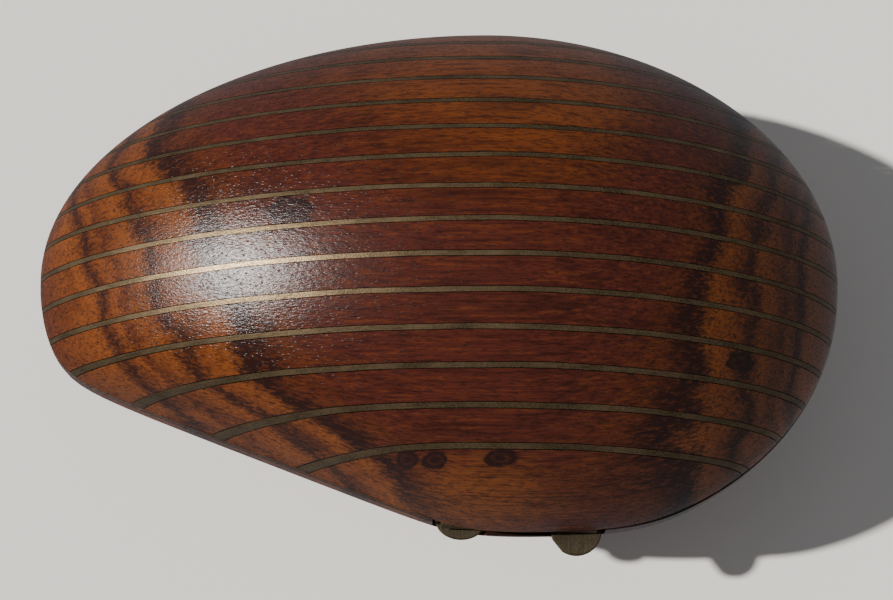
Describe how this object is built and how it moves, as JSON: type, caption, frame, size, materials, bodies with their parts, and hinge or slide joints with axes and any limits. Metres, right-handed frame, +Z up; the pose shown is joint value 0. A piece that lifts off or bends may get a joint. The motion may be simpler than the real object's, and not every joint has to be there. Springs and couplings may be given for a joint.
{
  "type": "inlaid trinket box",
  "caption": "Small hinged wooden box carved like a closed clam shell, with thin brass strips inlaid across its lid and a brass hinge at its beak.",
  "frame": {"origin": "under the middle of the whole box, hinge lugs included, at the height of the flat it stands on", "axes": "+Z up; X along the shell, with its narrower sloping end at -X; -Y is the hinge side and +Y the side that opens"},
  "size_m": [0.116, 0.0776, 0.0574],
  "materials": {
    "wood": "gloss lacquer on carved rosewood",
    "inlay_brass": "dull, tarnished",
    "hinge_brass": "dull, filed"
  },
  "bodies": {
    "base": {"valve_lower": "wood", "hinge_leaf_left": "hinge_brass", "hinge_leaf_right": "hinge_brass", "hinge_pin": "hinge_brass"},
    "lid": {"valve_upper": "wood", "inlay_strip_01": "inlay_brass", "inlay_strip_02": "inlay_brass", "inlay_strip_03": "inlay_brass", "inlay_strip_04": "inlay_brass", "inlay_strip_05": "inlay_brass", "inlay_strip_06": "inlay_brass", "inlay_strip_07": "inlay_brass", "inlay_strip_08": "inlay_brass", "inlay_strip_09": "inlay_brass", "inlay_strip_10": "inlay_brass", "inlay_strip_11": "inlay_brass", "inlay_strip_12": "inlay_brass", "inlay_strip_13": "inlay_brass", "inlay_strip_14": "inlay_brass", "inlay_strip_15": "inlay_brass", "hinge_leaf_lid": "hinge_brass"}
  },
  "joints": [
    {"name": "lid_hinge", "type": "hinge", "parent": "base", "child": "lid", "pos_m": [0.01142, -0.03472, 0.02602], "axis": [0.9997, -0.0262, 0], "range_deg": [0, 95]}
  ]
}
